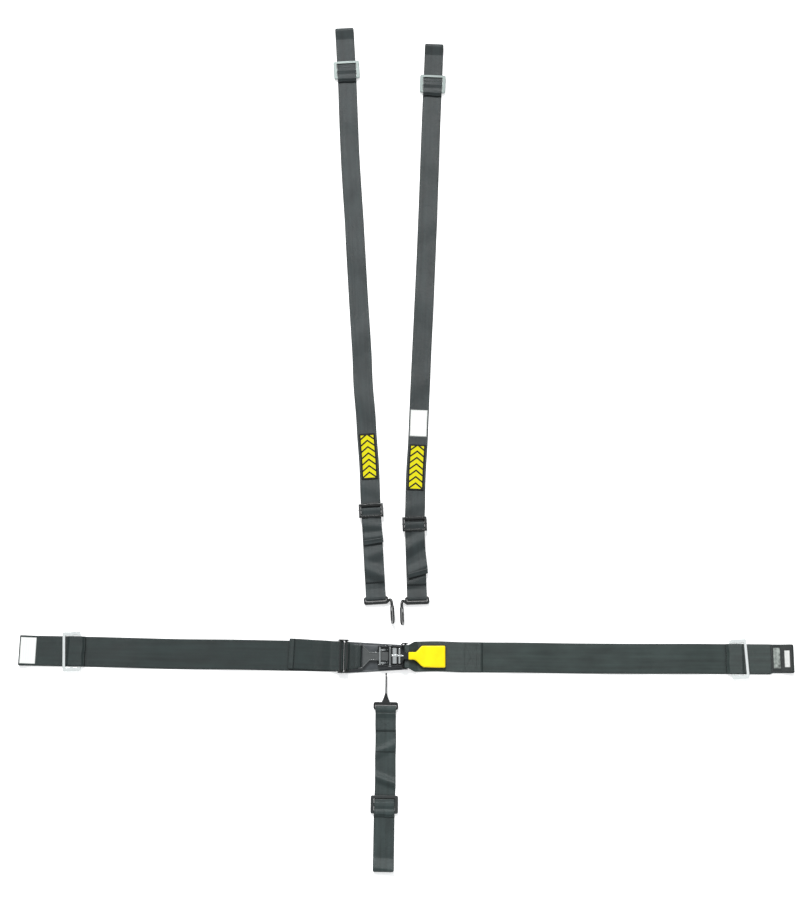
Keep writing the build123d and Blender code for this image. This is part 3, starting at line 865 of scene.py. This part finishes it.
def lower_webbing(
    side, where, rod_s, s0, s1, tail_end, step_s, mat, slant, swing, tail_waves, connector_waves
):
    """The connector loop and the hump with its free tail, below a shoulder adjuster."""
    wrap, rod_z, roll, bar_z = 3.3, 4.05, 4.05, 4.8
    loop = [
        (step_s, LAYER_3),
        (rod_s - 14, LAYER_3),
        (rod_s - 4, rod_z + wrap),
        (rod_s + wrap, rod_z + wrap),
        (rod_s + wrap, LAYER_1),
        (-FOLD_REACH, LAYER_1),
        (-FOLD_REACH, bar_z + roll),
        (2, bar_z + roll),
        (22, LAYER_2),
        (step_s + 20, LAYER_2),
    ]
    body = f"shoulder_{side}_adjuster"
    rise = lay(connector_waves)
    webbing(
        f"web_{side}_connector", f"shoulder_{side}_connector", "webbing_black", where, loop,
        [8, 8, 3.2, 3.2, 4, 4, 7, 10], SHOULDER_W, body, mat, [f"shoulder_{side}_fitting"],
        step=4.0, warp=rise,
    )
    lock = rod_s + 10.5
    high = LAYER_3 + 1.8
    over = [
        (s1 - 2, LAYER_2),
        (lock + 5.6, LAYER_2),
        (lock + 3.4, 10.55),
        (lock - 3.5, 10.55),
        (rod_s - 1, 9.3),
        (s0 - 1, 9.0),
        (s0 - 18, high + 1.0),
        (tail_end, high + 0.4),
        (tail_end, high + 2.0),
        (tail_end + 12, high + 2.2),
    ]
    bulge = lay(tail_waves)

    def droop(s, t, z):
        s, t, z = bulge(s, t, z)
        w = ease(-s, -(s0 - 8), -tail_end)
        return s - slant * t * w, t - swing * w * w, z + 1.5 * w * (1 - t / 30)

    webbing(
        f"web_{side}_tail", f"shoulder_{side}_tail", "webbing_black", where, over,
        [1.5, 2.8, 5, 5, 8, 10, 0.78, 0.78], SHOULDER_W, body, mat,
        [f"shoulder_{side}_adjuster_bar"], warp=droop, step=3.0,
    )
    rows = box_rows(step_s + 3, step_s + 17, 21, LAYER_3 + SEWN)
    stitches(f"thread_{side}_connector", where, rows, body, thread_dark, warp=rise)
    hem = [[(tail_end + 9.5, -22, high + 3.1), (tail_end + 9.5, 22, high + 3.1)]]
    stitches(f"thread_{side}_tail", where, hem, body, thread_dark, warp=droop)


lower_webbing(
    "left", SHOULDER_L, 218.4, 207.9, 244.7, 139.5, 38.6, web_left, 0.1, 2.2,
    [(187, 19, 3.6, 0.1), (157, 15, 3.0, 0.0)],
    [(66, 27, 6.0, 0.5), (112, 24, 3.0, -0.3)],
)
lower_webbing(
    "right", SHOULDER_R_LOW, 181.0, 171.6, 209.8, 56.0, 33.0, web_right, 0.24, 4.4,
    [(139, 29, 5.4, -0.5), (72, 22, 4.0, -0.2)],
    [(90, 26, 1.5, 0.5), (44, 18, 1.8, -0.4)],
)

# Crotch strap
crotch_line = [
    (107, 1.6),
    (98, LAYER_2),
    (24, LAYER_2),
    (3, 8.85),
    (-FOLD_REACH, 8.85),
    (-FOLD_REACH, LAYER_1),
] + loop_line(CROTCH_TIP, 252)
crotch_warp = lay(
    [(100, 17, 3.0, -0.5), (176, 15, 6.0, 0.35), (388, 22, 4.5, 0.3)],
    [(175, 90, 1.5), (80, 50, 1.2)],
)
webbing(
    "web_crotch", "crotch_webbing", "webbing_black", CROTCH, crotch_line,
    [12, 10, 7, 4, 4] + LOOP_RADII, SHOULDER_W, "crotch", web_crotch, ["crotch_fitting"],
    warp=crotch_warp, step=4.0, edges=tip_sides(51.6, CROTCH_TIP, 5.0),
)
hem_line = [(10, 8.3), (23.5, LAYER_3), (55, LAYER_3)]
webbing(
    "web_crotch_hem", "crotch_webbing", "webbing_black", CROTCH, hem_line, [9], SHOULDER_W,
    "crotch", web_crotch, ["web_crotch"], warp=crotch_warp, step=4.0,
)
hump(
    "web_crotch_slide", "crotch_slide_webbing", CROTCH, 235.0, 44.0, SHOULDER_W, "crotch_slide",
    web_crotch, ["crotch_slide_frame"], flip=True,
)
stitches(
    "thread_crotch", CROTCH, box_rows(26, 51, 21, LAYER_3 + SEWN), "crotch", thread_dark,
    warp=crotch_warp,
)


# ---------------------------------------------------------------- labels
def shifted(where, t):
    """A strap's frame moved t millimetres across the strap."""
    return where @ Matrix.Translation((0, t * MM, 0))


def label(name, cad_node, where, points, radii, width, body, mat, thick, warp):
    """A patch, label or tag sewn on a strap, in place of a CAD node, which it hides."""
    obj = strip(
        name, where, points, radii, width, body, mat, thick=thick, warp=warp, step=3.0, across=24
    )
    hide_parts(cad_node)


END_PATCH = shifted(LAP_RIGHT, 1.75)

label(
    "sewn_patch_left", "shoulder_left_patch", SHOULDER_L,
    [(309.5, 1.9), (432.8, 1.9)], [], 42, "shoulder_left", patch_mat, 0.6, left_shoulder_warp,
)
label(
    "sewn_patch_right", "shoulder_right_patch", SHOULDER_R,
    [(87.0, 1.9), (209.5, 1.9)], [], 42, "shoulder_right", patch_mat, 0.6, right_shoulder_warp,
)
label(
    "satin_label_right", "shoulder_right_label", SHOULDER_R,
    [(231.0, 1.75), (302.5, 1.75)], [], 44, "shoulder_right", label_long, 0.4, right_shoulder_warp,
)
label(
    "satin_label_left", "lap_label_left", LAP_LEFT,
    [(902.5, 3.7), (912.0, 3.75), (936.6, 9.35), (941.0, 9.35)], [10, 8], 66, "lap_left",
    label_mat, 0.5, None,
)
label(
    "end_patch", "lap_end_patch", END_PATCH,
    [(959, 3.65), (984, 3.7), (1008.6, 9.35), (1014, 9.35)], [10, 8], 71, "lap_right", cap_leather,
    0.6, None,
)
label(
    "end_tag_worn", "lap_end_tag_wide", shifted(LAP_RIGHT, 3.0),
    [(965.0, 4.3), (982.5, 4.4)], [], 52, "lap_right", tag_grey, 0.4, None,
)
label(
    "end_tag_white", "lap_end_tag_narrow", shifted(LAP_RIGHT, 1.0),
    [(992.6, 6.3), (1005.6, 9.3)], [], 42, "lap_right", tag_white, 0.4, None,
)

FINE_THREAD = {"pitch": 2.6, "size": 1.9, "fat": 0.3}

stitches(
    "thread_patch_left", SHOULDER_L, box_rows(311.5, 430.8, 19.6, 2.3, False), "shoulder_left",
    thread_dark, warp=left_shoulder_warp, **FINE_THREAD,
)
stitches(
    "thread_patch_right", SHOULDER_R, box_rows(89.0, 207.5, 19.6, 2.3, False), "shoulder_right",
    thread_dark, warp=right_shoulder_warp, **FINE_THREAD,
)
stitches(
    "thread_label_right", SHOULDER_R, box_rows(232.6, 300.9, 20.6, 2.05, False), "shoulder_right",
    thread_grey, warp=right_shoulder_warp, **dict(FINE_THREAD, fat=0.25),
)
stitches(
    "thread_lap_right", LAP_RIGHT,
    box_rows(72, 104, 32, LAYER_2 + SEWN) + box_rows(184, 214, 32, LAYER_2 + SEWN), "lap_right",
    thread_dark, warp=lap_right_warp,
)
stitches("thread_link_loop", LAP_LEFT, box_rows(94, 106, 26, 12.0), "link", thread_dark)
patch_rows = [
    [(961.5, -33, 4.1), (984, -33, 4.15)], [(961.5, 33, 4.1), (984, 33, 4.15)],
    [(961.5, -33, 4.1), (961.5, 33, 4.1)],
]
patch_rows += [[(1009.5, -32, 9.8), (1009.5, 32, 9.8)]]
stitches("thread_end_patch", END_PATCH, patch_rows, "lap_right", thread_grey)


# ---------------------------------------------------------------- pad under the buckle
def outline(points, radius, spacing):
    """A closed outline with rounded corners as evenly spread points and outward normals."""
    out = []
    n = len(points)
    for i in range(n):
        here = Vector(points[i])
        back = (Vector(points[i - 1]) - here).normalized()
        on = (Vector(points[(i + 1) % n]) - here).normalized()
        turn = math.pi - back.angle(on)
        reach = radius * math.tan(turn / 2)
        for k in range(9):
            w = k / 8
            a, b = here + back * reach, here + on * reach
            out.append(a.lerp(here, w).lerp(here.lerp(b, w), w))
    line = []
    for i, p in enumerate(out):
        q = out[(i + 1) % len(out)]
        gap = (q - p).length
        if gap < 1e-4:
            continue
        m = max(1, int(math.ceil(gap / spacing)))
        for k in range(m):
            line.append(p.lerp(q, k / m))
    normals = []
    for i, p in enumerate(line):
        d = line[(i + 1) % len(line)] - line[i - 1]
        normals.append(Vector((d.y, -d.x)).normalized())
    return line, normals


def buckle_pad():
    """The padded cover: rings from the floor up over the rolled rim and on to a low crown."""
    plan = [(-116.5, -41), (28, -32.5), (38, -32.5), (38, 30.5), (28, 30.5), (-116.5, 39)]
    line, normals = outline(plan, 8.0, 4.0)
    inner_inset = 6.6
    rings = [
        (5, 0.05), (2.5, 0.05), (0.9, 0.35), (0.0, 1.15), (0.0, 2.0), (0.5, 2.75), (1.4, 3.15),
        (2.6, 3.2), (3.7, 2.95), (4.6, 2.7), (5.6, 2.95), (inner_inset, 3.25),
    ]
    spine_a, spine_b = Vector((-84, -1)), Vector((10, -1))
    verts, faces = [], []
    for inset, z in rings:
        for i, (p, q) in enumerate(zip(line, normals)):
            give = 0.06 * math.sin(i * 0.9) if 3 < inset else 0.0
            verts.append(
                Vector(((p.x - q.x * inset) * MM, (p.y - q.y * inset) * MM, (z + give) * MM))
            )
    for w, z in ((0.1, 3.5), (0.25, 3.75), (0.5, 3.9), (0.75, 3.95), (0.93, 3.95)):
        for p, q in zip(line, normals):
            edge = p - q * inner_inset
            k = min(1.0, max(0.0, (edge.x - spine_a.x) / (spine_b.x - spine_a.x)))
            inner = edge.lerp(spine_a.lerp(spine_b, k), w)
            verts.append(Vector((inner.x * MM, inner.y * MM, z * MM)))
        rings.append((w, z))
    n = len(line)
    for j in range(len(rings) - 1):
        for i in range(n):
            m = (i + 1) % n
            faces.append((j * n + i, j * n + m, (j + 1) * n + m, (j + 1) * n + i))
    top = (len(rings) - 1) * n
    faces.append(tuple(range(n))[::-1])
    faces.append(tuple(top + i for i in range(n)))
    obj = solid("pad_cover", verts, faces, "lap_right", pad_leather)
    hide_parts("buckle_pad")
    seam = [(p.x - q.x * 4.6, p.y - q.y * 4.6, 3.0) for p, q in zip(line, normals)]
    stitches(
        "thread_pad", Matrix.Identity(4), [seam + seam[:1]], "lap_right", thread_grey, pitch=3.4,
        size=2.4, fat=0.34,
    )


buckle_pad()

# ---------------------------------------------------------------- grip on the lever
def between(x, table):
    """A smooth value read between the rows of a short table."""
    for (a, u), (b, v) in zip(table, table[1:]):
        if x <= b:
            return u + (v - u) * ease(x, a, b) if x > a else u
    return table[-1][1]


def lever_grip():
    """The bottle-shaped grip: neck by the pivot, widening to a flat body with a dished top."""
    start, end = 41.5, 134.9
    corner = 3.0
    above = [(start, 9.6), (58, 9.8), (78, 26.2), (end, 26.4)]
    below = [(start, 9.8), (54, 9.4), (82, 27.6), (112, 28.6), (end, 28.6)]

    def sides(x):
        high, low = between(x, above), between(x, below)
        near = min(x - start, end - x)
        if near < corner:
            cut = corner - math.sqrt(max(0.0, corner**2 - (corner - near) ** 2))
            high, low = high - cut * 0.8, low - cut * 0.8
        return -low, high

    def thickness(x):
        near = max(0.0, min(x - start, end - x))
        round_end = math.sqrt(max(0.03, 1 - (max(0.0, 2.4 - near) / 2.4) ** 2))
        return 7.0 * round_end

    def dish(x, t, z):
        return x, t, z - 0.7 * bell(x, 87, 12) - 0.35 * bell(x, 110, 22)

    line = [(start, 18.5), (44, 18.5), (74, 9.6), (end, 8.36)]
    where = shifted(Matrix.Identity(4), 1.0)
    obj = strip(
        "grip_bottle", where, line, [5, 60], 55, "lever", grip_yellow, thick=thickness,
        edges=sides, step=1.2, across=28, rim=2.8, crown=0.35, warp=dish,
    )
    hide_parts("lever_grip")


lever_grip()

# ---------------------------------------------------------------- materials on the CAD parts
finish = {
    "lap_left_slide_frame": silver,
    "lap_right_slide_frame": silver,
    "shoulder_left_slide_frame": silver_painted_dark,
    "shoulder_right_slide_frame": silver_painted_dark,
    "crotch_slide_frame": slide_coated,
    "lap_adjuster_frame": matt_black,
    "lap_adjuster_bar": matt_black,
    "shoulder_left_adjuster_frame": coated_worn,
    "shoulder_left_adjuster_bar": coated,
    "shoulder_right_adjuster_frame": coated_worn,
    "shoulder_right_adjuster_bar": coated,
    "shoulder_left_fitting": coated,
    "shoulder_right_fitting": coated,
    "crotch_fitting": coated,
    "latch_frame": buckle,
    "link_plate": link_steel,
    "latch_front_bar": bright,
    "latch_webbing_bar": buckle,
    "lever_plate": lever_steel,
    "lever_hook": bright,
    "lever_pivot_pin": bright,
    "lever_detent_spring": bright,
    "latch_rivets": bright,
}
for name, mat in finish.items():
    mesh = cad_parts[name].data
    mesh.materials.clear()
    mesh.materials.append(mat)


# ---------------------------------------------------------------- floor
def floor():
    """A large white floor just under the part."""
    mat, tree, shader = material("floor_white")
    where = object_space(tree)
    grain = noise(tree, where, 3.0, 2.0)
    wire(
        tree, shader, "Base Color",
        ramp(tree, grain, [(0.2, (0.93, 0.935, 0.935)), (0.8, (0.95, 0.95, 0.95))]),
    )
    shader.inputs["Roughness"].default_value = 0.9
    shader.inputs["Specular IOR Level"].default_value = 0.0
    shader.inputs["Emission Color"].default_value = (1, 1, 1, 1)
    shader.inputs["Emission Strength"].default_value = 0.42
    mesh = bpy.data.meshes.new("floor")
    reach_m, z_m = 30.0, -0.0004
    corners = [(-1, -1), (1, -1), (1, 1), (-1, 1)]
    mesh.from_pydata([(x * reach_m, y * reach_m, z_m) for x, y in corners], [], [(0, 1, 2, 3)])
    mesh.materials.append(mat)
    obj = bpy.data.objects.new("floor", mesh)
    scene.collection.objects.link(obj)


floor()
